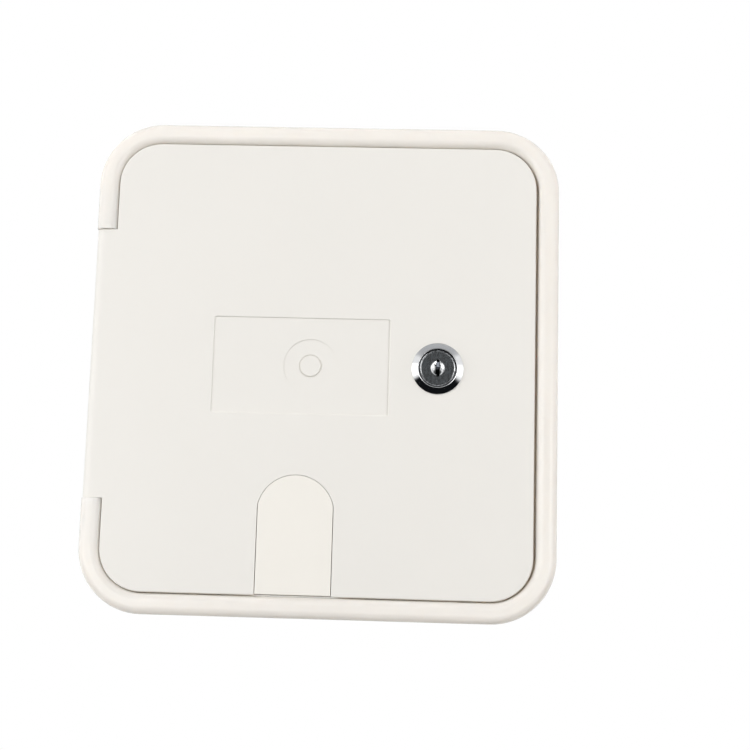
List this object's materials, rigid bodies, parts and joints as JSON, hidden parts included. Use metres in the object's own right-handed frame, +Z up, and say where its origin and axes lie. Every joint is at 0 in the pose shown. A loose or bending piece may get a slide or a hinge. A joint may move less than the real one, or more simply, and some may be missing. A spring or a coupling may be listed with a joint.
{
  "type": "power cord hatch",
  "caption": "Square white wall hatch with a raised rim, side-hinged door, round cam lock and a small arched cable flap at the door's bottom edge.",
  "frame": {"origin": "middle of the flange's flat back, on the wall's outer skin", "axes": "+Z up, +X to the right seen from outside, -Y out of the wall towards the viewer, +Y into the wall"},
  "size_m": [0.2, 0.0385, 0.2116],
  "materials": {
    "frame_white": "glossy moulded plastic",
    "door_white": "satin moulded plastic with a fine texture",
    "flap_cream": "satin moulded plastic, slightly yellower",
    "seal_rubber": "soft black rubber",
    "lock_chrome": "bright chrome plate",
    "lock_steel": "zinc-plated steel",
    "pin_steel": "drawn stainless steel"
  },
  "bodies": {
    "frame": {"frame": "frame_white", "door_seal": "seal_rubber", "hinge_pin_upper": "pin_steel", "hinge_pin_lower": "pin_steel"},
    "door": {"door_panel": "door_white", "lock_body": "lock_chrome", "lock_nut": "lock_steel", "flap_pin": "pin_steel"},
    "lock_plug": {"lock_plug": "lock_chrome", "lock_cam": "lock_steel", "cam_screw": "lock_steel"},
    "cable_flap": {"cable_flap": "flap_cream"}
  },
  "joints": [
    {"name": "door_hinge", "type": "hinge", "parent": "frame", "child": "door", "pos_m": [-0.0959, -0.008, 0], "axis": [0, 0, -1], "range_deg": [0, 105]},
    {"name": "lock_turn", "type": "hinge", "parent": "door", "child": "lock_plug", "pos_m": [0.049, -0.012, 0], "axis": [0, -1, 0], "range_deg": [0, 90]},
    {"name": "flap_swing", "type": "hinge", "parent": "door", "child": "cable_flap", "pos_m": [-0.0092, -0.0066, -0.04345], "axis": [1, 0, 0], "range_deg": [0, 80]}
  ]
}
